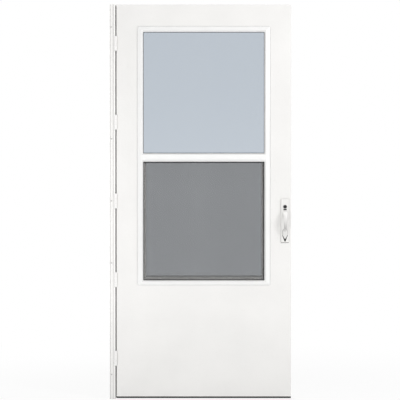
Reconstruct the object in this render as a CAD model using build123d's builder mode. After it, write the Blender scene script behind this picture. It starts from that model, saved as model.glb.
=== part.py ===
from build123d import *
import os

os.makedirs("parts", exist_ok=True)

# A storm door with its hinge rail, in millimetres.
# X runs across the door from the hinge side to the latch side, minus Y points outdoors, Z is up.
# The origin lies on the back of the hinge rail's screw flange, on its screw line,
# level with the lower edge of the door's sweep. Depths called "out" are measured
# outdoors from the back of that flange, so y = -out.

# Door leaf
leaf_width = 899
leaf_top = 2026
leaf_thickness = 32
leaf_out = 6
edge_radius = 3
skin_thickness = 0.8
skin_seam = 0.8
hinge_gap = 5.5

# Window opening, seen from outdoors
opening_width = 624
opening_bottom = 607
lower_light_height = 611
mid_bar_height = 43
top_rail_height = 141
side_face = 30.5
top_face = 29
bottom_face = 24.5

# Moulded window surrounds
surround_base = 2.5
surround_corner = 8
ridge_rise = 6.5
ridge_setback = 3
ridge_slope_width = 17
quirk_setback = 1
quirk_width = 1.4
quirk_depth = 2
opening_bevel = 7
glazing_lip = 8
lip_thickness = 2
jamb_wall = 3
cutout_clearance = 0.3
front_jamb_depth = 10
seat_clearance = 0.2

# Glass, screen and sliding sash
glass_thickness = 3
gasket_wall = 1
gasket_reveal = 2.4
screen_frame_depth = 6
screen_reveal_hinge_side = 1.5
screen_reveal_latch_side = 5
screen_reveal_top = 6
screen_reveal_bottom = 4
screen_thickness = 0.8
sash_depth = 8
sash_side_rail = 20
sash_bottom_rail = 24
sash_top_rail = 22
sash_overlap = 4
sash_glass_bite = 5
sash_clearance = 1
track_rib = 1.5
track_rib_height = 5
inside_flange = 3
inside_flange_bevel = 1.2
latch_tab_width = 30
latch_tab_height = 10
latch_tab_depth = 4
latch_tab_setback = 90

# Bottom expander and sweep
expander_wall = 1.2
expander_bottom = 9
expander_leg = 13
expander_end_gap = 0.5
sweep_fin = 1.6
sweep_base = 1.5
sweep_width = 24
sweep_fins = 3

# Hinge rail
flange_outer = 10
flange_inner = 12.5
edge_bead_width = 4
edge_bead_rise = 1.4
edge_groove_width = 1.6
edge_groove_depth = 0.8
bead_width = 8
bead_out = 11
rail_wall = 1.6
rail_bend = 1.5
rail_drop = 4
rail_rise = 2
rail_lip_reach = 14
seal_clearance = 0.5
seal_width = 8
seal_base = 1.2
seal_height = 5
seal_foot_gap = 3
seal_foot_step = 0.5
screw_hole_radius = 2.4
screw_from_hinge = 85

# Hinges
hinge_length = 76
hinge_count = 5
lowest_hinge = 207
highest_hinge_below_top = 200
knuckle_radius = 6
knuckle_proud = 5.2
centre_knuckle = 26
knuckle_gap = 0.4
pin_radius = 2.4
pin_clearance = 0.05
pin_proud = 1.2
hinge_plate = 1.5
hinge_plate_depth = 18
notch_clearance = 1.4
bore_wall = 1.5
notch_past_face = 0.6

# Handle set
handle_backset = 32
plate_width = 41
plate_bottom = 803
plate_height = 225
plate_depth = 9
plate_corner = 5
plate_bevel = 2.5
button_below_top = 41.5
button_radius = 8.5
button_gap = 0.4
button_proud = 4
button_seat = 2
button_pocket = 6
button_bevel = 1
slot_below_button = 14.5
slot_width = 15
slot_tall = 6
slot_depth = 3

# Pull grip
grip_below_top = 60
grip_drop = 110
grip_reach = 40
grip_thickness = 12
head_thickness = 18
grip_head_depth = 8
grip_head_half = 14
grip_middle_half = 9.5
grip_neck_half = 5
grip_neck_rise = 20
grip_edge = 3
foot_rise = 14
foot_half = 13
foot_shoulder_drop = 10
foot_length = 50
foot_depth = 10
foot_tip_depth = 6
foot_waist_half = 11.8
foot_tip_half = 2
pocket_rise = 18
pocket_gap = 2.5
pocket_drop = 14
pocket_tip_half = 2.5
pocket_depth = 7
pocket_liner = 5

# Inside handle and latch
case_centre_height = 955
case_width = 52
case_height = 130
case_depth = 14
case_corner = 8
case_bevel = 2
lever_above_centre = 12
lever_hub_radius = 10
lever_hub_length = 24
lever_reach = 88
lever_arm_width = 18
lever_arm_thickness = 8
bolt_width = 16
bolt_depth = 10
bolt_gap = 1

# How far a cutting shape runs past the face that it cuts
overcut = 1

# Worked-out places
flange_left = -flange_outer
flange_right = flange_inner
bead_right = flange_right + bead_width
leaf_left = bead_right + hinge_gap
leaf_right = leaf_left + leaf_width
leaf_middle = (leaf_left + leaf_right) / 2
front_y = -leaf_out
back_y = front_y + leaf_thickness
core_bottom = expander_bottom + expander_wall
handle_x = leaf_right - handle_backset
plate_top = plate_bottom + plate_height
plate_out = leaf_out + plate_depth
button_height = plate_top - button_below_top
slot_height = button_height - slot_below_button
grip_top = plate_top - grip_below_top
grip_low = grip_top - grip_drop
opening_top = leaf_top - top_rail_height
mid_bar_bottom = opening_bottom + lower_light_height
mid_bar_top = mid_bar_bottom + mid_bar_height
opening_left = leaf_middle - opening_width / 2
opening_right = leaf_middle + opening_width / 2
cell_grow = glazing_lip
cutout_grow = glazing_lip + jamb_wall + cutout_clearance
cutout_width = opening_width + 2 * cutout_grow
cutout_bottom = opening_bottom - cutout_grow
cutout_top = opening_top + cutout_grow
surround_left = opening_left - side_face
surround_right = opening_right + side_face
surround_bottom = opening_bottom - bottom_face
surround_top = opening_top + top_face
lip_back_out = leaf_out - lip_thickness
lower_cell = (opening_bottom - cell_grow, mid_bar_bottom + cell_grow)
upper_cell = (mid_bar_top - cell_grow, opening_top + cell_grow)
cell_width = opening_width + 2 * cell_grow
jamb_back_out = leaf_out - front_jamb_depth
pivot_x = bead_right + hinge_gap / 2
pivot_y = front_y - knuckle_proud
highest_hinge = leaf_top - highest_hinge_below_top
hinge_step = (highest_hinge - lowest_hinge) / (hinge_count - 1)
hinge_heights = [lowest_hinge + hinge_step * number for number in range(hinge_count)]
screw_heights = (
    hinge_heights[0] - screw_from_hinge,
    hinge_heights[1] + screw_from_hinge,
    hinge_heights[2],
    hinge_heights[3] - screw_from_hinge,
    hinge_heights[4] + screw_from_hinge,
)
rail_bottom = -rail_drop
rail_top = leaf_top + rail_rise
rail_lip_y = back_y + seal_clearance + seal_height + rail_wall


def outdoors(out):
    """The upright plane that faces outdoors at this depth, with Z as its second direction."""
    return Plane.XZ.offset(out)


def middle(low, high):
    return (low + high) / 2


def save(part, name):
    part.label = name
    export_step(part, f"parts/{name}.step")


# Hinge rail: screw flange, raised bead and a web that reaches back past the leaf
with BuildPart() as hinge_rail:
    with BuildSketch(Plane.XY.offset(rail_bottom)):
        with BuildLine():
            FilletPolyline(
                (flange_left, -rail_wall / 2),
                (flange_right + rail_wall / 2, -rail_wall / 2),
                (flange_right + rail_wall / 2, -bead_out + rail_wall / 2),
                (bead_right - rail_wall / 2, -bead_out + rail_wall / 2),
                (bead_right - rail_wall / 2, rail_lip_y - rail_wall / 2),
                (bead_right + rail_lip_reach, rail_lip_y - rail_wall / 2),
                radius=rail_bend,
            )
        trace(line_width=rail_wall)
        # The outer edge: a raised bead with a groove beside it
        with Locations((flange_left + edge_bead_width / 2, -rail_wall - edge_bead_rise / 2)):
            Rectangle(edge_bead_width, edge_bead_rise)
        groove_x = flange_left + edge_bead_width + edge_groove_width / 2
        with Locations((groove_x, -rail_wall + edge_groove_depth / 2)):
            Rectangle(edge_groove_width, edge_groove_depth, mode=Mode.SUBTRACT)
    extrude(amount=rail_top - rail_bottom)
    # A notch in the bead for each hinge's knuckles
    notch_reach = knuckle_radius - hinge_gap / 2 + notch_clearance
    for height in hinge_heights:
        with BuildSketch(outdoors(bead_out + overcut)):
            with Locations((bead_right + (overcut - notch_reach) / 2, height)):
                Rectangle(notch_reach + overcut, hinge_length + 2 * notch_clearance)
        extrude(amount=-(bead_out + overcut - leaf_out + notch_past_face), mode=Mode.SUBTRACT)
    with Locations(*[Plane(origin=(0, -rail_wall, height), z_dir=(0, -1, 0)) for height in screw_heights]):
        Hole(radius=screw_hole_radius, depth=2 * rail_wall)
save(hinge_rail.part, "hinge_rail")

# Rail seal: a bulb of vinyl on the rail's lip, behind the leaf's hinge edge
with BuildPart() as rail_seal:
    seal_middle = bead_right + rail_lip_reach - seal_width / 2
    seal_root_y = rail_lip_y - rail_wall
    seal_bottom = core_bottom + expander_leg + seal_foot_gap
    with BuildSketch(Plane.XY.offset(seal_bottom)):
        with Locations((seal_middle, seal_root_y - seal_base / 2)):
            Rectangle(seal_width, seal_base)
        with Locations((seal_middle, seal_root_y - seal_height / 2)):
            Ellipse(seal_width / 2 - seal_foot_step, seal_height / 2)
    extrude(amount=rail_top - seal_bottom)
save(rail_seal.part, "rail_seal")


def knuckle(low, high, bore):
    """One turn of a hinge's barrel about the pivot, with its bore."""
    with BuildPart() as barrel:
        with BuildSketch(Plane.XY.offset(low)):
            with Locations((pivot_x, pivot_y)):
                Circle(knuckle_radius)
                Circle(bore, mode=Mode.SUBTRACT)
        extrude(amount=high - low)
    return barrel.part


def hinge_side(plate_left, low, high, knuckle_spans):
    """A hinge leaf: its plate against an edge and a neck that joins it to its own knuckles."""
    plate_front_y = pivot_y + knuckle_radius + knuckle_gap
    plate_middle = plate_left + hinge_plate / 2
    bore = pin_radius + pin_clearance
    neck_front_y = pivot_y + pin_radius + bore_wall
    with BuildPart() as side:
        with BuildSketch(Plane.XY.offset(low)):
            with Locations((plate_middle, plate_front_y + hinge_plate_depth / 2)):
                Rectangle(hinge_plate, hinge_plate_depth)
        extrude(amount=high - low)
        for span_low, span_high in knuckle_spans:
            with BuildSketch(Plane.XY.offset(span_low)):
                with Locations((plate_middle, middle(neck_front_y, plate_front_y))):
                    Rectangle(hinge_plate, plate_front_y - neck_front_y)
            extrude(amount=span_high - span_low)
            add(knuckle(span_low, span_high, bore))
    return side.part


for number, height in enumerate(hinge_heights, start=1):
    low = height - hinge_length / 2
    high = height + hinge_length / 2
    centre_low = height - centre_knuckle / 2
    centre_high = height + centre_knuckle / 2
    rail_spans = ((low, centre_low - knuckle_gap), (centre_high + knuckle_gap, high))
    save(hinge_side(bead_right, low, high, rail_spans), f"hinge_{number}_rail_leaf")
    door_spans = ((centre_low, centre_high),)
    save(hinge_side(leaf_left - hinge_plate, low, high, door_spans), f"hinge_{number}_door_leaf")
    with BuildPart() as hinge_pin:
        with BuildSketch(Plane.XY.offset(low - pin_proud)):
            with Locations((pivot_x, pivot_y)):
                Circle(pin_radius)
        extrude(amount=high - low + 2 * pin_proud)
    save(hinge_pin.part, f"hinge_{number}_pin")


def skin(keep_front):
    """A metal skin over one face of the leaf, with both long edges folded halfway back."""
    half = (leaf_thickness + skin_seam) / 2
    cut_y = front_y + leaf_thickness - half / 2 if keep_front else front_y + half / 2
    with BuildPart() as sheet:
        with BuildSketch(Plane.XY.offset(core_bottom)):
            with Locations((leaf_middle, front_y + leaf_thickness / 2)):
                RectangleRounded(leaf_width, leaf_thickness, edge_radius)
                RectangleRounded(
                    leaf_width - 2 * skin_thickness,
                    leaf_thickness - 2 * skin_thickness,
                    edge_radius - skin_thickness,
                    mode=Mode.SUBTRACT,
                )
            with Locations((leaf_middle, cut_y)):
                Rectangle(leaf_width, half, mode=Mode.SUBTRACT)
        extrude(amount=leaf_top - core_bottom)
        with BuildSketch(outdoors(leaf_out + overcut)):
            with Locations((leaf_middle, middle(cutout_bottom, cutout_top))):
                Rectangle(cutout_width, cutout_top - cutout_bottom)
        extrude(amount=-(leaf_thickness + 2 * overcut), mode=Mode.SUBTRACT)
    return sheet.part


save(skin(True), "front_skin")
save(skin(False), "back_skin")


def core_block(left, right, low, high):
    """A block of the core that lies between the two skins."""
    with BuildPart() as block:
        with BuildSketch(Plane.XY.offset(low)):
            with Locations((leaf_middle, front_y + leaf_thickness / 2)):
                RectangleRounded(
                    leaf_width - 2 * skin_thickness,
                    leaf_thickness - 2 * skin_thickness,
                    edge_radius - skin_thickness,
                )
            with Locations((middle(left, right), front_y + leaf_thickness / 2)):
                Rectangle(right - left, leaf_thickness, mode=Mode.INTERSECT)
        extrude(amount=high - low)
    return block.part


cutout_left = leaf_middle - cutout_width / 2
cutout_right = leaf_middle + cutout_width / 2
save(core_block(leaf_left, cutout_left, core_bottom, leaf_top), "hinge_stile_core")
save(core_block(cutout_right, leaf_right, core_bottom, leaf_top), "latch_stile_core")
save(core_block(cutout_left, cutout_right, cutout_top, leaf_top), "top_rail_core")
save(core_block(cutout_left, cutout_right, core_bottom, cutout_bottom), "lower_panel_core")

# Window surround: one moulded frame with a mid bar, sloping up to a ridge and bevelled to the glass
openings = ((opening_bottom, mid_bar_bottom), (mid_bar_top, opening_top))
with BuildPart() as window_surround:
    with BuildSketch(outdoors(leaf_out)):
        with Locations((leaf_middle, middle(surround_bottom, surround_top))):
            RectangleRounded(surround_right - surround_left, surround_top - surround_bottom, surround_corner)
    extrude(amount=surround_base)
    for out, inset in ((0, ridge_setback), (ridge_rise, ridge_setback + ridge_slope_width)):
        with BuildSketch(outdoors(leaf_out + surround_base + out)):
            with Locations((leaf_middle, middle(surround_bottom, surround_top))):
                Rectangle(
                    surround_right - surround_left - 2 * inset,
                    surround_top - surround_bottom - 2 * inset,
                )
    loft()
    # A fine quirk line just inside the surround's outer edge
    with BuildSketch(outdoors(leaf_out + surround_base)):
        with Locations((leaf_middle, middle(surround_bottom, surround_top))):
            for inset, mode in ((quirk_setback, Mode.ADD), (quirk_setback + quirk_width, Mode.SUBTRACT)):
                RectangleRounded(
                    surround_right - surround_left - 2 * inset,
                    surround_top - surround_bottom - 2 * inset,
                    surround_corner - inset,
                    mode=mode,
                )
    extrude(amount=-quirk_depth, mode=Mode.SUBTRACT)
    # The part behind the skin: the lip and the jamb walls round each light
    with BuildSketch(outdoors(leaf_out)):
        with Locations((leaf_middle, middle(cutout_bottom, cutout_top))):
            Rectangle(
                cutout_width - 2 * cutout_clearance,
                cutout_top - cutout_bottom - 2 * cutout_clearance,
            )
    extrude(amount=-front_jamb_depth)
    bevel_depth = surround_base + ridge_rise
    for low, high in openings:
        for out, grow in ((leaf_out, 0), (leaf_out + bevel_depth, opening_bevel)):
            with BuildSketch(outdoors(out)):
                with Locations((leaf_middle, middle(low, high))):
                    Rectangle(opening_width + 2 * grow, high - low + 2 * grow)
        loft(mode=Mode.SUBTRACT)
        with BuildSketch(outdoors(leaf_out)):
            with Locations((leaf_middle, middle(low, high))):
                Rectangle(opening_width, high - low)
        extrude(amount=-lip_thickness, mode=Mode.SUBTRACT)
    for low, high in (lower_cell, upper_cell):
        with BuildSketch(outdoors(lip_back_out)):
            with Locations((leaf_middle, middle(low, high))):
                Rectangle(cell_width, high - low)
        extrude(amount=-(front_jamb_depth - lip_thickness), mode=Mode.SUBTRACT)
save(window_surround.part, "window_surround")

# Inside surround: a flange on the back skin and jamb walls with the sash's tracks
inside_jamb_depth = leaf_thickness - front_jamb_depth
sash_back_out = jamb_back_out - track_rib - seat_clearance - sash_depth
with BuildPart() as inside_surround:
    with BuildSketch(outdoors(-back_y)):
        with Locations((leaf_middle, middle(surround_bottom, surround_top))):
            RectangleRounded(surround_right - surround_left, surround_top - surround_bottom, surround_corner)
    extrude(amount=-inside_flange)
    chamfer(inside_surround.faces().sort_by(Axis.Y)[-1].edges(), length=inside_flange_bevel)
    with BuildSketch(outdoors(-back_y)):
        with Locations((leaf_middle, middle(cutout_bottom, cutout_top))):
            Rectangle(
                cutout_width - 2 * cutout_clearance,
                cutout_top - cutout_bottom - 2 * cutout_clearance,
            )
    extrude(amount=inside_jamb_depth)
    with BuildSketch(outdoors(jamb_back_out)):
        with Locations((leaf_middle, middle(lower_cell[0], upper_cell[1]))):
            Rectangle(cell_width, upper_cell[1] - lower_cell[0])
    extrude(amount=-(inside_jamb_depth + inside_flange), mode=Mode.SUBTRACT)
    for rib_out in (jamb_back_out - track_rib, sash_back_out - seat_clearance - track_rib):
        for side in (-1, 1):
            with BuildSketch(outdoors(rib_out)):
                with Locations(
                    (
                        leaf_middle + side * (cell_width - track_rib_height) / 2,
                        middle(lower_cell[0], upper_cell[1]),
                    )
                ):
                    Rectangle(track_rib_height, upper_cell[1] - lower_cell[0])
            extrude(amount=track_rib)
save(inside_surround.part, "inside_surround")

# Upper glass in a gasket that wraps its edges and shows as a thin dark line
glass_front_out = lip_back_out - gasket_wall
with BuildPart() as upper_glass:
    with BuildSketch(outdoors(glass_front_out)):
        with Locations((leaf_middle, middle(*upper_cell))):
            Rectangle(cell_width - 2 * gasket_wall, upper_cell[1] - upper_cell[0] - 2 * gasket_wall)
    extrude(amount=-glass_thickness)
save(upper_glass.part, "upper_glass")

with BuildPart() as upper_gasket:
    with BuildSketch(outdoors(lip_back_out)):
        with Locations((leaf_middle, middle(*upper_cell))):
            Rectangle(cell_width, upper_cell[1] - upper_cell[0])
            Rectangle(
                opening_width - 2 * gasket_reveal,
                opening_top - mid_bar_top - 2 * gasket_reveal,
                mode=Mode.SUBTRACT,
            )
    extrude(amount=-(glass_thickness + 2 * gasket_wall))
    with BuildSketch(outdoors(glass_front_out)):
        with Locations((leaf_middle, middle(*upper_cell))):
            Rectangle(cell_width - 2 * gasket_wall, upper_cell[1] - upper_cell[0] - 2 * gasket_wall)
    extrude(amount=-glass_thickness, mode=Mode.SUBTRACT)
save(upper_gasket.part, "upper_gasket")

# Insect screen in its thin frame, in the lower light
screen_left = opening_left + screen_reveal_hinge_side
screen_right = opening_right - screen_reveal_latch_side
screen_low = opening_bottom + screen_reveal_bottom
screen_high = mid_bar_bottom - screen_reveal_top
with BuildPart() as screen_frame:
    with BuildSketch(outdoors(lip_back_out)):
        with Locations((leaf_middle, middle(*lower_cell))):
            Rectangle(cell_width - 2 * seat_clearance, lower_cell[1] - lower_cell[0] - 2 * seat_clearance)
        with Locations((middle(screen_left, screen_right), middle(screen_low, screen_high))):
            Rectangle(screen_right - screen_left, screen_high - screen_low, mode=Mode.SUBTRACT)
    extrude(amount=-screen_frame_depth)
save(screen_frame.part, "screen_frame")

with BuildPart() as insect_screen:
    with BuildSketch(outdoors(lip_back_out - screen_frame_depth / 2 + screen_thickness / 2)):
        with Locations((middle(screen_left, screen_right), middle(screen_low, screen_high))):
            Rectangle(screen_right - screen_left, screen_high - screen_low)
    extrude(amount=-screen_thickness)
save(insect_screen.part, "insect_screen")

# Lower sash, closed behind the screen, between the inside surround's tracks
sash_width = cell_width - 2 * sash_clearance
sash_bottom = lower_cell[0]
sash_top = mid_bar_top + sash_overlap
sash_front_out = jamb_back_out - track_rib - seat_clearance
sash_light_width = sash_width - 2 * sash_side_rail
sash_light_low = sash_bottom + sash_bottom_rail
sash_light_high = sash_top - sash_top_rail
with BuildPart() as sash_glass:
    with BuildSketch(outdoors(sash_front_out - (sash_depth - glass_thickness) / 2)):
        with Locations((leaf_middle, middle(sash_light_low, sash_light_high))):
            Rectangle(
                sash_light_width + 2 * sash_glass_bite,
                sash_light_high - sash_light_low + 2 * sash_glass_bite,
            )
    extrude(amount=-glass_thickness)
save(sash_glass.part, "sash_glass")

with BuildPart() as sash_frame:
    with BuildSketch(outdoors(sash_front_out)):
        with Locations((leaf_middle, middle(sash_bottom, sash_top))):
            Rectangle(sash_width, sash_top - sash_bottom)
        with Locations((leaf_middle, middle(sash_light_low, sash_light_high))):
            Rectangle(sash_light_width, sash_light_high - sash_light_low, mode=Mode.SUBTRACT)
    extrude(amount=-sash_depth)
    add(sash_glass.part, mode=Mode.SUBTRACT)
    # Two finger tabs on the bottom rail, indoors
    with BuildSketch(outdoors(sash_front_out - sash_depth)):
        with Locations((leaf_middle, sash_bottom + sash_bottom_rail / 2)):
            with GridLocations(sash_width - 2 * latch_tab_setback, 1, 2, 1):
                Rectangle(latch_tab_width, latch_tab_height)
    extrude(amount=-latch_tab_depth)
save(sash_frame.part, "sash_frame")

# Bottom expander: a channel round the foot of the leaf
expander_length = leaf_width - 2 * expander_end_gap
with BuildPart() as bottom_expander:
    with BuildSketch(Plane.YZ.offset(leaf_left + expander_end_gap)):
        with Locations((middle(front_y, back_y), expander_bottom + expander_leg / 2)):
            Rectangle(leaf_thickness + 2 * expander_wall, expander_leg)
        with Locations((middle(front_y, back_y), core_bottom + expander_leg / 2)):
            Rectangle(leaf_thickness, expander_leg, mode=Mode.SUBTRACT)
    extrude(amount=expander_length)
save(bottom_expander.part, "bottom_expander")

# Bottom sweep: vinyl fins that hang from a strip under the expander
with BuildPart() as bottom_sweep:
    with BuildSketch(Plane.YZ.offset(leaf_left + expander_end_gap)):
        with Locations((middle(front_y, back_y), expander_bottom - sweep_base / 2)):
            Rectangle(sweep_width, sweep_base)
        with Locations((middle(front_y, back_y), expander_bottom / 2)):
            with GridLocations((sweep_width - sweep_fin) / (sweep_fins - 1), 1, sweep_fins, 1):
                Rectangle(sweep_fin, expander_bottom)
    extrude(amount=expander_length)
save(bottom_sweep.part, "bottom_sweep")

# Foot of the pull grip seen from the front, and the pocket that its tip points into
foot_top = grip_low + foot_rise
foot_bottom = foot_top - foot_length
shoulder = (foot_half, foot_top - foot_shoulder_drop)
with BuildSketch() as foot_outline:
    with BuildLine():
        Line((0, foot_top), (grip_neck_half, foot_top))
        TangentArc((grip_neck_half, foot_top), shoulder, tangent=(0, -1))
        ThreePointArc(
            shoulder,
            (foot_waist_half, middle(shoulder[1], foot_bottom)),
            (foot_tip_half, foot_bottom),
        )
        Line((foot_tip_half, foot_bottom), (0, foot_bottom))
        mirror(about=Plane.YZ)
    make_face()
pocket_top = foot_bottom + pocket_rise
pocket_bottom = foot_bottom - pocket_drop
with BuildSketch() as pocket_outline:
    with BuildLine():
        Line((0, pocket_top), (foot_waist_half + pocket_gap, pocket_top))
        Line((foot_waist_half + pocket_gap, pocket_top), (pocket_tip_half, pocket_bottom))
        Line((pocket_tip_half, pocket_bottom), (0, pocket_bottom))
        mirror(about=Plane.YZ)
    make_face()
    add(foot_outline.sketch, mode=Mode.SUBTRACT)
grip_front = Plane(origin=(handle_x, -plate_out, 0), x_dir=(1, 0, 0), z_dir=(0, -1, 0))

# Handle plate with a pocket for the push button and a slot below it
with BuildPart() as handle_plate:
    with BuildSketch(outdoors(leaf_out)):
        with Locations((handle_x, middle(plate_bottom, plate_top))):
            RectangleRounded(plate_width, plate_top - plate_bottom, plate_corner)
    extrude(amount=plate_depth)
    chamfer(handle_plate.faces().sort_by(Axis.Y)[0].edges(), length=plate_bevel)
    with BuildSketch(outdoors(plate_out)):
        with Locations((handle_x, button_height)):
            Circle(button_radius + button_gap)
    extrude(amount=-button_pocket, mode=Mode.SUBTRACT)
    with BuildSketch(outdoors(plate_out)):
        with Locations((handle_x, slot_height)):
            Rectangle(slot_width, slot_tall)
    extrude(amount=-slot_depth, mode=Mode.SUBTRACT)
    with BuildSketch(grip_front):
        add(pocket_outline.sketch)
    extrude(amount=-pocket_depth, mode=Mode.SUBTRACT)
save(handle_plate.part, "handle_plate")

# The black inserts of the slot and of the pocket
with BuildPart() as slot_insert:
    with BuildSketch(outdoors(plate_out - slot_depth)):
        with Locations((handle_x, slot_height)):
            Rectangle(slot_width, slot_tall)
    extrude(amount=slot_depth / 2)
    with BuildSketch(grip_front.offset(-pocket_depth)):
        add(pocket_outline.sketch)
    extrude(amount=pocket_liner)
save(slot_insert.part, "slot_insert")

# Push button, which slides into the plate
with BuildPart() as push_button:
    with BuildSketch(outdoors(plate_out - button_seat)):
        with Locations((handle_x, button_height)):
            Circle(button_radius)
    extrude(amount=button_seat + button_proud)
    chamfer(push_button.faces().sort_by(Axis.Y)[0].edges(), length=button_bevel)
save(push_button.part, "push_button")

# Pull grip: a bow seen from the side, narrowed from a wide head to a slim neck seen from the front,
# with a tulip-shaped foot that ends in a point
grip_side = Plane(origin=(handle_x - plate_width / 2, -plate_out, 0), x_dir=(0, -1, 0), z_dir=(-1, 0, 0))
grip_middle = middle(grip_low, grip_top)
neck_height = grip_low + grip_neck_rise
with BuildPart() as pull_grip:
    with BuildSketch(grip_side):
        with BuildLine():
            Line((0, grip_top), (grip_head_depth, grip_top))
            ThreePointArc(
                (grip_head_depth, grip_top), (grip_reach, grip_middle), (grip_head_depth, grip_low)
            )
            Line((grip_head_depth, grip_low), (0, grip_low))
            Line((0, grip_low), (0, grip_low + grip_thickness))
            ThreePointArc(
                (0, grip_low + grip_thickness),
                (grip_reach - grip_thickness, grip_middle),
                (0, grip_top - head_thickness),
            )
            Line((0, grip_top - head_thickness), (0, grip_top))
        make_face()
    extrude(amount=-plate_width)
    with BuildSketch(grip_front):
        with BuildLine():
            Line((0, grip_top), (grip_head_half, grip_top))
            ThreePointArc(
                (grip_head_half, grip_top), (grip_middle_half, grip_middle), (grip_neck_half, neck_height)
            )
            Line((grip_neck_half, neck_height), (grip_neck_half, grip_low))
            Line((grip_neck_half, grip_low), (0, grip_low))
            mirror(about=Plane.YZ)
        make_face()
    extrude(amount=grip_reach, mode=Mode.INTERSECT)
    bow_edges = pull_grip.edges().filter_by(lambda edge: edge.length > grip_drop / 2)
    chamfer(bow_edges, length=grip_edge)
    # The foot, whose front slopes back to its tip
    with BuildSketch(grip_front):
        add(foot_outline.sketch)
    extrude(amount=foot_depth)
    with BuildSketch(grip_side):
        with BuildLine():
            Polyline(
                (foot_depth, grip_low),
                (foot_depth, foot_bottom),
                (foot_tip_depth, foot_bottom),
                close=True,
            )
        make_face()
    extrude(amount=-plate_width, mode=Mode.SUBTRACT)
save(pull_grip.part, "pull_grip")

# Inside case, lever and latch bolt
with BuildPart() as inside_case:
    with BuildSketch(outdoors(-back_y)):
        with Locations((handle_x, case_centre_height)):
            RectangleRounded(case_width, case_height, case_corner)
    extrude(amount=-case_depth)
    chamfer(inside_case.faces().sort_by(Axis.Y)[-1].edges(), length=case_bevel)
save(inside_case.part, "inside_case")

case_y = back_y + case_depth
lever_height = case_centre_height + lever_above_centre
with BuildPart() as inside_lever:
    with BuildSketch(outdoors(-case_y)):
        with Locations((handle_x, lever_height)):
            Circle(lever_hub_radius)
    extrude(amount=-lever_hub_length)
    with BuildSketch(outdoors(-(case_y + lever_hub_length - lever_arm_thickness))):
        with Locations((handle_x - lever_reach / 2, lever_height)):
            SlotOverall(lever_reach + lever_arm_width, lever_arm_width)
    extrude(amount=-lever_arm_thickness)
save(inside_lever.part, "inside_lever")

bolt_left = handle_x + case_width / 2
bolt_right = leaf_right - bolt_gap
with BuildPart() as latch_bolt:
    with BuildSketch(Plane.XY.offset(case_centre_height - bolt_width / 2)):
        with BuildLine():
            Polyline(
                (bolt_left, back_y + bolt_gap),
                (bolt_right, back_y + bolt_depth),
                (bolt_left, back_y + bolt_depth),
                close=True,
            )
        make_face()
    extrude(amount=bolt_width)
save(latch_bolt.part, "latch_bolt")
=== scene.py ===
import math

import bmesh
import bpy
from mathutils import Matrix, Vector


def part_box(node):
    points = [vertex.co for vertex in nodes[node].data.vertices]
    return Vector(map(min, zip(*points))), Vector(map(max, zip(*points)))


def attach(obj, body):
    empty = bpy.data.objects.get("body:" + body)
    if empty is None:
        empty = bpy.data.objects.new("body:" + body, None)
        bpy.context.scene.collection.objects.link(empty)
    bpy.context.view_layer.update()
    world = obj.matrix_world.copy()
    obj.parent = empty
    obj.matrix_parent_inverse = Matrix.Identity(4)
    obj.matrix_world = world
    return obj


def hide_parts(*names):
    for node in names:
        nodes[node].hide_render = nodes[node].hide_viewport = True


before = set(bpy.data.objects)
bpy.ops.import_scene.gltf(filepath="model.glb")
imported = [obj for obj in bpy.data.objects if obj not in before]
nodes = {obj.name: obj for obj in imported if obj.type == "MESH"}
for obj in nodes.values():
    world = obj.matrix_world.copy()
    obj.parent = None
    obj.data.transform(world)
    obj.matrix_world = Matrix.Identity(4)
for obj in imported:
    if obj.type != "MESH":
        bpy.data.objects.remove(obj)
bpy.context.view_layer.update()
scene = bpy.context.scene
MM = 0.001
WHITE = (1, 1, 1, 1)
OUTDOORS, INDOORS = (0, -1, 0), (0, 1, 0)


# Colours are written as the values seen on screen
def rgb(red, green, blue):
    def linear(value):
        share = value / 255
        return share / 12.92 if share <= 0.04045 else ((share + 0.055) / 1.055) ** 2.4
    return (linear(red), linear(green), linear(blue), 1.0)


def shaded(colour, factor, lift=0.0):
    return tuple(channel * factor + lift for channel in colour[:3]) + (1.0,)


def greys(tones):
    """Stops of a ramp from pairs of place and tone."""
    return [(place, (tone, tone, tone, 1)) for place, tone in tones]


# Materials
def new_node(tree, kind, *feeds, **values):
    """Adds a node. The feeds are outputs that go into its first inputs."""
    made = tree.nodes.new(kind)
    for key, value in values.items():
        socket = key.replace("_", " ")
        if socket in made.inputs:
            made.inputs[socket].default_value = value
        else:
            setattr(made, key, value)
    for output, target in zip(feeds, made.inputs):
        tree.links.new(output, target)
    return made


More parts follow.
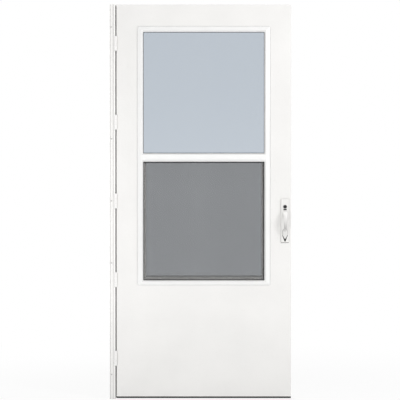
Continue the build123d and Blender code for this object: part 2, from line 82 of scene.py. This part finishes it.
class Surface:
    """A Principled material with a few shorthands for its nodes."""

    def __init__(self, name):
        self.material = bpy.data.materials.new(name)
        self.material.use_nodes = True
        self.tree = self.material.node_tree
        self.tree.nodes.clear()
        output = self.node("ShaderNodeOutputMaterial")
        self.shader = self.node("ShaderNodeBsdfPrincipled")
        self.link(self.shader.outputs["BSDF"], output.inputs["Surface"])
        self.coordinates = self.node("ShaderNodeTexCoord").outputs["Object"]

    def node(self, kind, *feeds, **values):
        return new_node(self.tree, kind, *feeds, **values)

    def link(self, output, target):
        self.tree.links.new(output, target)

    def set(self, **values):
        for key, value in values.items():
            self.shader.inputs[key.replace("_", " ")].default_value = value

    def scaled(self, stretch):
        return self.node("ShaderNodeMapping", self.coordinates, Scale=stretch).outputs["Vector"]

    def noise(self, scale, detail, stretch=(1, 1, 1)):
        """Noise from 0 to 1. A scale of 1000 gives grains of about a millimetre."""
        place = self.scaled(stretch)
        return self.node("ShaderNodeTexNoise", place, Scale=scale, Detail=detail).outputs["Fac"]

    def ramp(self, factor, stops):
        made = self.node("ShaderNodeValToRGB", factor)
        elements = made.color_ramp.elements
        while len(elements) < len(stops):
            elements.new(0.5)
        for element, (place, colour) in zip(elements, stops):
            element.position = place
            element.color = colour
        return made.outputs["Color"]

    def span(self, factor, low, high):
        """Takes a factor of 0 to 1 to a range of its own."""
        return self.node("ShaderNodeMapRange", factor, To_Min=low, To_Max=high).outputs["Result"]

    def mix(self, factor, first, second, blend="MIX"):
        made = self.node("ShaderNodeMix", data_type="RGBA", blend_type=blend)
        share_in, first_in, second_in = (made.inputs[index] for index in (0, 6, 7))
        for socket, value in ((share_in, factor), (first_in, first), (second_in, second)):
            if isinstance(value, (float, tuple)):
                socket.default_value = value
            else:
                self.link(value, socket)
        return made.outputs[2]

    def colour(self, output):
        self.link(output, self.shader.inputs["Base Color"])

    def rough(self, output):
        self.link(output, self.shader.inputs["Roughness"])

    def bump(self, layers):
        """Adds bumps, each a height output, a strength and a depth in metres."""
        normal = None
        for height, strength, depth in layers:
            made = self.node("ShaderNodeBump", Strength=strength, Distance=depth)
            self.link(height, made.inputs["Height"])
            if normal is not None:
                self.link(normal, made.inputs["Normal"])
            normal = made.outputs["Normal"]
        self.link(normal, self.shader.inputs["Normal"])

    def creases(self, base, reach, depth, shut=0.30, clear=0.90):
        """Painted shade: darkens grooves and corners, where less light reaches."""
        near = self.node("ShaderNodeAmbientOcclusion", Distance=reach, samples=8)
        painted_shade_ramp = self.ramp(near.outputs["AO"], greys(((shut, depth), (clear, 1))))
        return self.mix(1.0, base, painted_shade_ramp, "MULTIPLY")

    def height_above(self, low, high):
        """0 at one height of the object and 1 at another."""
        split = self.node("ShaderNodeSeparateXYZ", self.coordinates)
        made = self.node("ShaderNodeMapRange", split.outputs["Z"], interpolation_type="SMOOTHSTEP",
                         From_Min=low, From_Max=high)
        return made.outputs["Result"]


# Heights in metres between which a tone changes
FOOT_OF_DOOR = (0.0, 0.5)
BOTH_LIGHTS = (0.65, 1.9)
PULL_GRIP = (0.80, 0.96)

EVEN = ((0.0, 1.0), (1.0, 1.0))
# Painted shade: tones that darken the door's white towards its foot
SHADED_FOOT = ((0.0, 0.94), (1.0, 1.0))
DEEPER_SHADED_FOOT = ((0.0, 0.88), (1.0, 1.0))
# Painted shade and light on the grip from its foot up: darkest where the bow is slim and faces down,
# and painted brighter than its white where it faces the light
GRIP_PAINTED_SHADING = ((0.38, 0.86), (0.45, 0.52), (0.68, 0.74), (0.85, 0.84), (0.96, 0.92), (1.0, 1.05))


def enamel(name, shade, shine, peel, peel_scale=700.0, heights=FOOT_OF_DOOR, tones=SHADED_FOOT,
           crease=0.68, reach=0.006):
    """Baked white enamel: faint clouding and orange peel, with painted shade that changes with height,
    low down unless other heights are given, and painted shade in creases.
    """
    s = Surface(name)
    clouds = s.ramp(s.noise(4.0, 3.0), [(0.35, shaded(shade, 0.975)), (0.65, shaded(shade, 1.012))])
    flecks = s.ramp(s.noise(160.0, 6.0), [(0.28, rgb(236, 234, 229)), (0.36, rgb(255, 255, 255))])
    base = s.mix(0.5, clouds, flecks, "MULTIPLY")
    # Painted shade and light that change with height
    painted_light_and_shade = s.ramp(s.height_above(*heights), greys(tones))
    s.colour(s.creases(s.mix(1.0, base, painted_light_and_shade, "MULTIPLY"), reach, crease))
    s.rough(s.span(s.noise(35.0, 5.0), shine - 0.05, shine + 0.06))
    s.bump([(s.noise(peel_scale, 2.0), peel, 0.0002), (s.noise(6.0, 2.0), 0.04, 0.003)])
    s.set(IOR=1.48)
    return s.material


def moulded(name, shade, shine):
    """Moulded plastic with a fine even grain, faint flow clouding and painted shade in its creases."""
    s = Surface(name)
    clouds = s.ramp(s.noise(9.0, 5.0), [(0.3, shaded(shade, 0.97)), (0.7, shaded(shade, 1.01))])
    s.colour(s.creases(clouds, 0.003, 0.66, 0.10, 0.50))
    s.rough(s.span(s.noise(60.0, 4.0), shine - 0.06, shine + 0.07))
    s.bump([(s.noise(1500.0, 3.0), 0.12, 0.0001), (s.noise(25.0, 2.0), 0.05, 0.0006)])
    return s.material


def vinyl(name, shade, shine):
    """Soft extruded vinyl with faint drag lines along its length and dusty flecks."""
    s = Surface(name)
    s.colour(s.ramp(s.noise(90.0, 6.0), [(0.35, shade), (0.8, shaded(shade, 1.25, 0.004))]))
    s.rough(s.span(s.noise(140.0, 4.0), shine - 0.08, shine + 0.08))
    s.bump([(s.noise(900.0, 3.0), 0.25, 0.0001), (s.noise(260.0, 2.0, (0.05, 1, 1)), 0.15, 0.0001)])
    s.set(Specular_IOR_Level=0.35)
    return s.material


def metal(name, dark, light, shine, stretch=(1, 1, 0.05), metallic=1.0):
    """Plain metal with fine drawing lines and slight staining."""
    s = Surface(name)
    lines = s.noise(1800.0, 3.0, stretch)
    stain = s.noise(70.0, 5.0)
    s.colour(s.mix(stain, s.ramp(lines, [(0.3, dark), (0.7, light)]), light))
    s.rough(s.span(lines, shine - 0.07, shine + 0.1))
    s.bump([(lines, 0.12, 0.00005)])
    s.set(Metallic=metallic)
    return s.material


def glass(name, top, foot):
    """Tempered glass: a faint cool tint, painted lighter towards its foot as painted light, and the
    soft waviness of the tempering rolls.
    """
    s = Surface(name)
    # Painted light: the tint is lighter at the foot than at the top
    tint = s.ramp(s.height_above(*BOTH_LIGHTS), [(0.0, foot), (1.0, top)])
    haze = s.ramp(s.noise(3.0, 3.0), [(0.3, (0.985, 0.988, 0.99, 1)), (0.7, WHITE)])
    s.colour(s.mix(1.0, tint, haze, "MULTIPLY"))
    s.rough(s.span(s.noise(40.0, 3.0), 0.0, 0.02))
    s.bump([(s.noise(9.0, 1.0, (0.2, 1, 1)), 0.03, 0.001)])
    s.set(Transmission_Weight=1.0, IOR=1.45)
    return s.material


def particle_board(name):
    """Bare board: pressed chips in several tones, rough to the touch."""
    s = Surface(name)
    chips = s.node("ShaderNodeTexVoronoi", s.scaled((1, 1, 0.4)), Scale=420.0, Randomness=1.0)
    tone = s.ramp(
        chips.outputs["Color"],
        [(0.15, rgb(150, 116, 78)), (0.5, rgb(186, 152, 108)), (0.85, rgb(208, 178, 136))],
    )
    s.colour(s.mix(s.noise(30.0, 5.0), tone, rgb(176, 140, 98)))
    s.rough(s.span(s.noise(200.0, 4.0), 0.7, 0.95))
    s.bump([(chips.outputs["Distance"], 0.5, 0.0005), (s.noise(900.0, 4.0), 0.4, 0.0003)])
    return s.material


# Painted shade: each white below is painted darker in its creases
white_metal = enamel("white_metal", rgb(242, 241, 239), 0.42, 0.10, crease=0.76)
# Painted light: the rail's white is lighter than the skins', making up for less light on the door's
# left side; it is also painted darker towards its foot as painted shade
white_rail = enamel("white_rail", rgb(253, 252, 250), 0.38, 0.06, tones=DEEPER_SHADED_FOOT, crease=0.45)
white_moulding = moulded("white_moulding", rgb(248, 248, 247), 0.40)
# Painted light: the sash's white is lighter than the surround's, making up for the shade it lies in
# behind the screen
white_sash = moulded("white_sash", rgb(253, 253, 252), 0.45)
wood_core = particle_board("wood_core")
clear_glass = glass("clear_glass", rgb(187, 195, 204), rgb(197, 205, 214))
sash_pane = glass("sash_pane", rgb(170, 174, 178), rgb(174, 178, 182))
black_vinyl = vinyl("black_vinyl", rgb(14, 14, 15), 0.60)
dark_gasket = vinyl("dark_gasket", rgb(74, 77, 80), 0.55)
bead_vinyl = vinyl("bead_vinyl", rgb(186, 187, 188), 0.55)
grey_vinyl = vinyl("grey_vinyl", rgb(196, 195, 191), 0.55)
screen_bar = vinyl("screen_bar", rgb(44, 44, 46), 0.45)
screen_wire = vinyl("screen_wire", rgb(80, 79, 78), 0.50)
dark_metal = metal("dark_metal", rgb(12, 12, 13), rgb(26, 26, 28), 0.30, (1, 1, 1), 0.0)
handle_enamel = enamel("handle_enamel", rgb(240, 239, 237), 0.24, 0.05, 300.0, tones=EVEN, crease=0.35)
# The grip is painted darker towards its neck and in its creases as painted shade, and lighter at its
# head as painted light
grip_enamel = enamel("grip_enamel", rgb(244, 243, 241), 0.24, 0.05, 300.0, PULL_GRIP, GRIP_PAINTED_SHADING,
                     crease=0.30, reach=0.05)
bright_steel = metal("bright_steel", rgb(150, 150, 150), rgb(205, 205, 206), 0.28)
screw_enamel = enamel("screw_enamel", rgb(228, 227, 225), 0.35, 0.05, 900.0)
ring_steel = metal("ring_steel", rgb(70, 70, 72), rgb(104, 104, 107), 0.30)
# Painted shade for the dark crosses in the screws' driver recesses
recess_shade = metal("recess_shade", rgb(60, 60, 62), rgb(96, 96, 98), 0.40)

hinges = range(1, 6)
hinge_leaves = [f"hinge_{n}_{side}_leaf" for n in hinges for side in ("rail", "door")]
for material, names in (
    (white_metal, ["front_skin", "back_skin", "bottom_expander"]),
    (white_rail, ["hinge_rail"] + hinge_leaves),
    (bright_steel, ["latch_bolt"] + [f"hinge_{n}_pin" for n in hinges]),
    (wood_core, ["hinge_stile_core", "latch_stile_core", "top_rail_core", "lower_panel_core"]),
    (white_moulding, ["window_surround", "inside_surround"]),
    (white_sash, ["sash_frame"]),
    (clear_glass, ["upper_glass"]),
    (sash_pane, ["sash_glass"]),
    (dark_gasket, ["upper_gasket"]),
    (screen_bar, ["screen_frame"]),
    (black_vinyl, ["bottom_sweep"]),
    (grey_vinyl, ["rail_seal"]),
    (handle_enamel, ["handle_plate", "inside_case", "inside_lever"]),
    # slot_insert holds the black liner of the pocket round the grip foot's tip: a dark sheet that
    # stands in for the shadow there, painted shadow
    (dark_metal, ["push_button", "slot_insert"]),
):
    for name in names:
        nodes[name].data.materials.clear()
        nodes[name].data.materials.append(material)

# Softened edges on the rigid nodes, with the bevel's width in millimetres
WELD_GAP = 0.002
BEVEL_SEGMENTS = 2
BEVEL_ANGLE = math.radians(32)
for name, width in (
    ("window_surround", 0.2),
    ("inside_surround", 0.5),
    ("handle_plate", 0.6),
    ("inside_case", 0.6),
    ("inside_lever", 1.2),
    ("push_button", 0.4),
    ("bottom_expander", 0.25),
    ("sash_frame", 0.4),
    ("screen_frame", 0.2),
    ("latch_bolt", 0.3),
):
    weld = nodes[name].modifiers.new("weld", "WELD")
    weld.merge_threshold = WELD_GAP * MM
    bevel = nodes[name].modifiers.new("soft_edges", "BEVEL")
    bevel.width = width * MM
    bevel.segments = BEVEL_SEGMENTS
    bevel.limit_method = "ANGLE"
    bevel.angle_limit = BEVEL_ANGLE
    even = nodes[name].modifiers.new("even_shading", "WEIGHTED_NORMAL")
    even.keep_sharp = True


# Helpers for new pieces, whose sizes are in millimetres
def piece(name, shape, material, body, replaced=(), sharp=38):
    """Turns a shape into a named object that rides on a body of the frame."""
    bmesh.ops.recalc_face_normals(shape, faces=shape.faces)
    mesh = bpy.data.meshes.new(name)
    shape.to_mesh(mesh)
    shape.free()
    mesh.materials.append(material)
    mesh.polygons.foreach_set("use_smooth", [True] * len(mesh.polygons))
    mesh.set_sharp_from_angle(angle=math.radians(sharp))
    made = bpy.data.objects.new(name, mesh)
    scene.collection.objects.link(made)
    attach(made, body)
    if replaced:
        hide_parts(*replaced)
    return made


def at(x, y, z):
    return Vector((x, y, z)) * MM


def add_rings(shape, rings, ends="capped"):
    """Joins closed rings of points, each as long as the first. The ends are capped, open or joined."""
    made = [[shape.verts.new(point) for point in ring] for ring in rings]
    following = made[1:] + made[:1] if ends == "joined" else made[1:]
    count = len(made[0])
    for low, high in zip(made, following):
        for index in range(count):
            after = (index + 1) % count
            shape.faces.new((low[index], low[after], high[after], high[index]))
    if ends == "capped":
        shape.faces.new(list(reversed(made[0])))
        shape.faces.new(made[-1])


def add_stack(shape, centre, axis, outlines):
    """Skins level outlines, each (height along the axis, flat points), that stand on a centre."""
    turn = Vector((0, 0, 1)).rotation_difference(Vector(axis)).to_matrix()
    add_rings(shape, [
        [(Vector(centre) + turn @ Vector((x, y, height))) * MM for x, y in outline]
        for height, outline in outlines
    ])


def around(count, radius=1.0):
    angles = [2 * math.pi * index / count for index in range(count)]
    return [(radius * math.cos(angle), radius * math.sin(angle)) for angle in angles]


def add_turned(shape, centre, axis, profile, sides=24):
    """A turned form: profile points are (distance along the axis, radius)."""
    add_stack(shape, centre, axis, [(along, around(sides, radius)) for along, radius in profile])


def add_cross_recess(shape, centre, axis, reach, width, depth):
    """A dark four-armed star let into the head: painted shade standing in for the shadow in a driver
    recess.
    """
    outline = []
    for cosine, sine in around(4):
        for x, y in ((reach, -width / 2), (reach, width / 2), (width / 2, width / 2)):
            outline.append((x * cosine - y * sine, x * sine + y * cosine))
    add_stack(shape, centre, axis, [(-depth, outline), (0.0, outline)])


def corners_of(left, right, foot, head):
    return (left, foot), (right, foot), (right, head), (left, head)


def low_high(name):
    low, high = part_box(name)
    return low / MM, high / MM


def middle_of(name):
    low, high = low_high(name)
    return (low + high) / 2


# Woven screen: upright strands in front of level ones, each that far off the middle of the sheet
WIRE_PITCH = 1.45
WIRE_RADIUS = 0.205
WIRE_SIDES = 6
WIRE_OFFSET = WIRE_RADIUS * 0.8
mesh_low, mesh_high = low_high("insect_screen")
mesh_y = (mesh_low.y + mesh_high.y) / 2
mesh_wide, mesh_tall = mesh_high.x - mesh_low.x, mesh_high.z - mesh_low.z
shape = bmesh.new()


def add_strand(start, axis, length):
    add_turned(shape, start, axis, ((0.0, WIRE_RADIUS), (length, WIRE_RADIUS)), WIRE_SIDES)


def spread(low, length):
    """Evenly spaced places for the strands, about a pitch apart."""
    count = int(length / WIRE_PITCH)
    return [low + (index + 0.5) * length / count for index in range(count)]


for x in spread(mesh_low.x, mesh_wide):
    add_strand((x, mesh_y - WIRE_OFFSET, mesh_low.z), (0, 0, 1), mesh_tall)
for z in spread(mesh_low.z, mesh_tall):
    add_strand((mesh_low.x, mesh_y + WIRE_OFFSET, z), (1, 0, 0), mesh_wide)
piece("woven_screen", shape, screen_wire, "leaf", ["insect_screen"])

# Pull grip: a cast bow, wide at its head and slim at its neck, with a domed tulip foot.
# Known fault: the bow stands about 11 mm off the plate at both ends and does not meet the foot, so
# it hangs in the air when seen from the side. The solid pull_grip, which this hides, is joined
plate_low, plate_high = low_high("handle_plate")
grip_low, grip_high = low_high("pull_grip")
HANDLE_X = (plate_low.x + plate_high.x) / 2
PLATE_Y = plate_low.y
REACH = PLATE_Y - grip_low.y
BOW_TOP = grip_high.z
BOW_LENGTH = 110
HEAD_THICK, NECK_THICK = 5.6, 4.8
HEAD_HALF, MIDDLE_HALF, NECK_HALF = 14.0, 9.2, 4.9
HEAD_EASE, NECK_EASE = 0.9, 0.8
END_ROOM, FRONT_ROOM = 3.0, 0.3
# The centre line runs over most of a half turn, which stops it short of the plate at both ends,
# and its power makes the bow fuller than a sine
TURN_START, TURN_LENGTH, FULLNESS = 0.06, 0.88, 0.62
BOW_STEPS = 56
BOW_SIDES = 32
BOW_SQUARENESS = 2.6


def superellipse(half_wide, half_thick, count, power):
    return [
        (
            half_wide * math.copysign(abs(c) ** (2 / power), c),
            half_thick * math.copysign(abs(s) ** (2 / power), s),
        )
        for c, s in around(count)
    ]


def bow_centre(share):
    """The bow's centre line, as (out from the plate, height, half thickness); 0 is its head."""
    thick = HEAD_THICK - (HEAD_THICK - NECK_THICK) * share
    # the line bows out and back, and reaches the plate at neither end
    angle = math.pi * (TURN_START + TURN_LENGTH * share)
    out = (REACH - thick - FRONT_ROOM) * math.sin(angle) ** FULLNESS
    top = BOW_TOP - thick - END_ROOM
    drop = BOW_LENGTH - 2 * (thick + END_ROOM)
    return out, top - drop * (0.5 - 0.5 * math.cos(angle)), thick


def bow_half_width(share):
    def eased(t):
        return t * t * (3 - 2 * t)
    if share < 0.5:
        return HEAD_HALF + (MIDDLE_HALF - HEAD_HALF) * eased(2 * share) ** HEAD_EASE
    return MIDDLE_HALF + (NECK_HALF - MIDDLE_HALF) * eased(2 * share - 1) ** NECK_EASE


centres = [bow_centre(index / BOW_STEPS) for index in range(BOW_STEPS + 1)]
rings = []
for index, (out, z, thick) in enumerate(centres):
    before = centres[max(index - 1, 0)]
    after = centres[min(index + 1, BOW_STEPS)]
    along = Vector((0, after[0] - before[0], after[1] - before[1])).normalized()
    half = bow_half_width(index / BOW_STEPS)
    rings.append([
        at(HANDLE_X + wide, PLATE_Y - out + along.z * deep, z + along.y * deep)
        for wide, deep in superellipse(half, thick, BOW_SIDES, BOW_SQUARENESS)
    ])
shape = bmesh.new()
add_rings(shape, rings)

# The foot: a dome on a flat back, its outline as (share of the length from the top, half width)
FOOT_OVERLAP = 14
FOOT_TOP = BOW_TOP - BOW_LENGTH + FOOT_OVERLAP
FOOT_LENGTH = FOOT_TOP - grip_low.z
FOOT_GAP = 0.05
FOOT_BACK = PLATE_Y - FOOT_GAP
FOOT_DOME, DOME_FALL, FALL_FROM = 9.6, 4.0, 0.3
SIDE_POWER, DOME_POWER = 0.8, 0.7
DOME_STEPS, BACK_STEPS = 16, 8
foot_outline = (
    (0.00, 4.8), (0.06, 6.4), (0.12, 9.4), (0.17, 12.0), (0.21, 13.0), (0.30, 13.2), (0.40, 13.0),
    (0.50, 12.5), (0.60, 11.7), (0.70, 10.4), (0.80, 8.4), (0.90, 5.6), (1.00, 2.2),
)
rings = []
for share, half in foot_outline:
    z = FOOT_TOP - FOOT_LENGTH * share
    dome = FOOT_DOME - DOME_FALL * max(0.0, share - FALL_FROM) / (1 - FALL_FROM)
    ring = []
    for step in range(DOME_STEPS + 1):
        angle = math.pi * step / DOME_STEPS
        c, s = math.cos(angle), math.sin(angle)
        x = HANDLE_X + half * math.copysign(abs(c) ** SIDE_POWER, c)
        ring.append(at(x, FOOT_BACK - dome * abs(s) ** DOME_POWER, z))
    for step in range(1, BACK_STEPS):
        ring.append(at(HANDLE_X - half + 2 * half * step / BACK_STEPS, FOOT_BACK, z))
    rings.append(ring)
add_rings(shape, rings)

# Both forms get a cast surface, and stay apart
VOXEL = 0.8
POLISH_ROUNDS = 6
NEVER_SHARP = 180
grip = piece("cast_pull_grip", shape, grip_enamel, "leaf", ["pull_grip"], NEVER_SHARP)
remesh = grip.modifiers.new("blend_forms", "REMESH")
remesh.mode = "VOXEL"
remesh.voxel_size = VOXEL * MM
remesh.use_smooth_shade = True
smooth = grip.modifiers.new("polish", "SMOOTH")
smooth.factor = 0.5
smooth.iterations = POLISH_ROUNDS

# The black flange of the slot's insert, a thin frame round the slot. Its rings are
# (half width, foot, head, out from the plate)
SLOT_BELOW_BUTTON_TOP = 23.0
FLANGE_RINGS = (
    (7.5, -3.0, 3.0, 0.0), (7.5, -3.0, 3.0, 0.3), (7.8, -3.2, 3.1, 0.3), (8.0, -3.3, 3.2, 0.0),
)
button_low, button_high = low_high("push_button")
slot_z = button_high.z - SLOT_BELOW_BUTTON_TOP
shape = bmesh.new()
add_rings(shape, [
    [at(HANDLE_X + x, PLATE_Y - out, slot_z + z) for x, z in corners_of(-half, half, foot, head)]
    for half, foot, head, out in FLANGE_RINGS
], "open")
piece("slot_flange", shape, black_vinyl, "leaf")

# A black strip behind the handle plate, painted shadow that stands in for the shade under the plate:
# its lip shows under the plate's foot. The sections are (out from the plate's back, down from its
# foot), from an inset of 1.5 to one of 3 at each end
LIP_START, LIP_FULL = 1.5, 3.0
LIP_END = ((0.02, -1.0), (0.02, 1.0), (0.7, 0.8), (0.9, -1.0))
LIP_MIDDLE = ((0.02, -1.0), (0.02, 1.9), (1.0, 1.7), (1.3, -1.0))
shape = bmesh.new()
add_rings(shape, [
    [at(x, plate_high.y - out, plate_low.z - down) for out, down in lip]
    for x, lip in (
        (plate_low.x + LIP_START, LIP_END), (plate_low.x + LIP_FULL, LIP_MIDDLE),
        (plate_high.x - LIP_FULL, LIP_MIDDLE), (plate_high.x - LIP_START, LIP_END),
    )
])
piece("plate_shadow_strip", shape, black_vinyl, "leaf")

# Screws, each a turned head with a dark cross of painted shade for its driver recess
PAN_HEAD = ((0.0, 0.6), (0.0, 4.0), (0.9, 3.9), (1.7, 3.1), (2.1, 1.6), (2.15, 0.4))
FLAT_HEAD = ((0.0, 0.4), (0.0, 2.6), (0.35, 2.5), (0.55, 1.8), (0.6, 0.3))
CROSS_REACH, CROSS_WIDTH, CROSS_DEPTH = 1.9, 0.75, 0.5
CROSS_PROUD = 0.02


def screws(name, places, axis, profile, scale, body):
    heads = bmesh.new()
    recesses = bmesh.new()
    sized = [(along * scale, radius * scale) for along, radius in profile]
    cross = [length * scale for length in (CROSS_REACH, CROSS_WIDTH, CROSS_DEPTH)]
    top = max(along for along, radius in sized)
    for place in places:
        add_turned(heads, place, axis, sized)
        crown = Vector(place) + Vector(axis) * (top + CROSS_PROUD)
        add_cross_recess(recesses, crown, axis, *cross)
    piece(name + "_heads", heads, screw_enamel, body)
    piece(name + "_recesses", recesses, recess_shade, body)


# Through the rail's flange, at the heights of its holes
FLANGE_FRONT = -1.6
FLANGE_HOLES = (122, 696.75, 1016.5, 1336.25, 1911)
places = [(0, FLANGE_FRONT, z) for z in FLANGE_HOLES]
screws("rail_screw", places, OUTDOORS, PAN_HEAD, 0.95, "rail")

# Through the hinge plates, three to a plate
PLATE_THICK = 1.5
PLATE_SCREW_INSET = 6
PLATE_SCREW_STEPS = (-26, 0, 26)
rail_plate_x = low_high("hinge_1_rail_leaf")[0].x + PLATE_THICK
door_plate_x = low_high("hinge_1_door_leaf")[1].x - PLATE_THICK
plate_screw_y = low_high("hinge_1_door_leaf")[1].y - PLATE_SCREW_INSET
levels = [middle_of(f"hinge_{n}_rail_leaf").z + step for n in hinges for step in PLATE_SCREW_STEPS]
for name, x, axis, body in (
    ("rail_plate_screw", rail_plate_x, (1, 0, 0), "rail"),
    ("door_plate_screw", door_plate_x, (-1, 0, 0), "leaf"),
):
    places = [(x, plate_screw_y, z) for z in levels]
    screws(name, places, axis, FLAT_HEAD, 1.0, body)

# Through the inside surround and the inside case
TRIM_INSET = 9
CASE_INSET = 12
trim_low, trim_high = low_high("inside_surround")
places = []
for share in (0.1, 0.5, 0.9):
    for z in (trim_low.z + TRIM_INSET, trim_high.z - TRIM_INSET):
        places.append((trim_low.x + (trim_high.x - trim_low.x) * share, trim_high.y, z))
for share in (0.12, 0.31, 0.5, 0.69, 0.88):
    for x in (trim_low.x + TRIM_INSET, trim_high.x - TRIM_INSET):
        places.append((x, trim_high.y, trim_low.z + (trim_high.z - trim_low.z) * share))
screws("trim_screw", places, INDOORS, PAN_HEAD, 0.8, "leaf")
case_low, case_high = low_high("inside_case")
case_x = (case_low.x + case_high.x) / 2
places = [(case_x, case_high.y, z) for z in (case_low.z + CASE_INSET, case_high.z - CASE_INSET)]
screws("case_screw", places, INDOORS, PAN_HEAD, 0.9, "leaf")

# The button's key cylinder: a ring let into its face, flush with it
RING_DEPTH = 0.3
RING_SIDES = 32
ring_profile = ((0.0, 3.4), (0.0, 4.4), (0.25, 4.4), (0.3, 4.3), (0.3, 3.5), (0.1, 3.4))
button_middle = middle_of("push_button")
ring_centre = (button_middle.x, button_low.y + RING_DEPTH, button_middle.z)
shape = bmesh.new()
add_turned(shape, ring_centre, OUTDOORS, ring_profile, RING_SIDES)
piece("button_ring", shape, ring_steel, "button")

# Glazing bead of the sash: a dark strip round its pane, wider along the foot
PANE_BITE = 5.0
BEAD_SIDE, BEAD_FOOT = 1.2, 9.0
pane_low, pane_high = low_high("sash_glass")
light_left, light_right = pane_low.x + PANE_BITE, pane_high.x - PANE_BITE
light_foot, light_head = pane_low.z + PANE_BITE, pane_high.z - PANE_BITE
outer = corners_of(light_left, light_right, light_foot, light_head)
inner = corners_of(light_left + BEAD_SIDE, light_right - BEAD_SIDE,
                   light_foot + BEAD_FOOT, light_head - BEAD_SIDE)
shape = bmesh.new()
add_rings(shape, [
    [at(x, pane_low.y - out, z) for x, z in corners]
    for corners, out in ((outer, 1.2), (outer, 0.1), (inner, 0.1), (inner, 0.9))
], "joined")
piece("sash_glazing_bead", shape, bead_vinyl, "leaf")

# A low moulded weather bead along the mid bar, its broad face tilted down, as (height, out)
RIDGE_FOOT = 1226.5
RIDGE_OUTLINE = ((0.0, -0.02), (0.4, 0.4), (9.4, 3.0), (10.2, 2.9), (10.8, 2.2), (11.4, -0.02))
RIDGE_LAP = 4
surround_front = low_high("window_surround")[0].y
shape = bmesh.new()
add_rings(shape, [
    [at(x, surround_front - out, RIDGE_FOOT + up) for up, out in RIDGE_OUTLINE]
    for x in (light_left - RIDGE_LAP, light_right + RIDGE_LAP)
])
piece("mid_bar_ridge", shape, white_moulding, "leaf")


# Floor, backdrop, lamps and camera
def cleared(owner, output_kind):
    """The node tree of a material or world, with nothing but a new output."""
    owner.use_nodes = True
    owner.node_tree.nodes.clear()
    return owner.node_tree, owner.node_tree.nodes.new(output_kind).inputs["Surface"]


def seen_rays(tree):
    """1 where the ray comes from the camera, a reflection or glass."""
    rays = new_node(tree, "ShaderNodeLightPath").outputs
    total = rays["Is Camera Ray"]
    for name in ("Is Glossy Ray", "Is Transmission Ray"):
        total = new_node(tree, "ShaderNodeMath", total, rays[name], operation="MAXIMUM").outputs[0]
    return total


# The floor, which fades from near white below the door to the white of the backdrop
FLOOR_SIZE = 16
DOOR_MIDDLE = 0.45
FLOOR_GREY = (0.93, 0.93, 0.93, 1)
FADE_START, FADE_END = 0.7, 2.4
WHITE_SHARE_NEAR, WHITE_SHARE_FAR = 0.8, 1.0
floor_z = low_high("hinge_rail")[0].z * MM
bpy.ops.mesh.primitive_plane_add(size=FLOOR_SIZE, location=(DOOR_MIDDLE, 0, floor_z))
floor = bpy.context.object
floor.name = "floor"
pale = bpy.data.materials.new("pale_floor")
floor.data.materials.append(pale)
tree, surface = cleared(pale, "ShaderNodeOutputMaterial")
matt = new_node(tree, "ShaderNodeBsdfDiffuse", Color=FLOOR_GREY)
white = new_node(tree, "ShaderNodeEmission", Strength=1.0)
coordinates = new_node(tree, "ShaderNodeTexCoord")
distance = new_node(tree, "ShaderNodeVectorMath", coordinates.outputs["Object"], operation="LENGTH")
fade = new_node(tree, "ShaderNodeMapRange", distance.outputs["Value"],
                interpolation_type="SMOOTHSTEP", From_Min=FADE_START, From_Max=FADE_END,
                To_Min=WHITE_SHARE_NEAR, To_Max=WHITE_SHARE_FAR)
share = new_node(tree, "ShaderNodeMath", seen_rays(tree), fade.outputs["Result"],
                 operation="MULTIPLY")
mixed = new_node(tree, "ShaderNodeMixShader", share.outputs[0], matt.outputs[0], white.outputs[0])
tree.links.new(mixed.outputs[0], surface)

# The backdrop is white where it is seen, and dimmer as a light
DAYLIGHT = 0.69
scene.world = bpy.data.worlds.new("studio")
tree, surface = cleared(scene.world, "ShaderNodeOutputWorld")
soft = new_node(tree, "ShaderNodeBackground", Color=WHITE, Strength=DAYLIGHT)
backdrop = new_node(tree, "ShaderNodeBackground", Color=WHITE, Strength=1.0)
mixed = new_node(tree, "ShaderNodeMixShader", seen_rays(tree), soft.outputs[0], backdrop.outputs[0])
tree.links.new(mixed.outputs[0], surface)


def lamp(name, place, target, size, watts):
    light = bpy.data.lights.new(name, "AREA")
    light.shape = "DISK"
    light.size = size
    light.energy = watts
    made = bpy.data.objects.new(name, light)
    made.location = place
    made.rotation_euler = (Vector(target) - Vector(place)).to_track_quat("-Z", "Y").to_euler()
    made.visible_camera = False
    made.visible_transmission = False
    scene.collection.objects.link(made)
    return made


lamp("key", (2.7, -2.1, 2.3), (0.5, 0, 1.1), size=0.9, watts=26)
lamp("fill", (-0.9, -2.7, 0.9), (0.5, 0, 1.1), size=0.9, watts=15.5)
# The lamp behind lights the inside, and reflections leave it out
back = lamp("back", (-0.8, 3.4, 1.9), (0.5, 0, 1.0), size=1.6, watts=40)
back.visible_glossy = False

PITCH = math.radians(0.5)
AIM = Vector((0.4559, -0.006, 1.0212))
DISTANCE = 6.0
camera = bpy.data.cameras.new("camera")
camera.sensor_width = 36
camera.lens = 104.92
camera.clip_end = 100
viewer = bpy.data.objects.new("camera", camera)
viewer.location = AIM + Vector((0, -math.cos(PITCH), math.sin(PITCH))) * DISTANCE
viewer.rotation_euler = (math.pi / 2 - PITCH, 0, 0)
scene.collection.objects.link(viewer)
scene.camera = viewer
scene.view_settings.view_transform = "Standard"
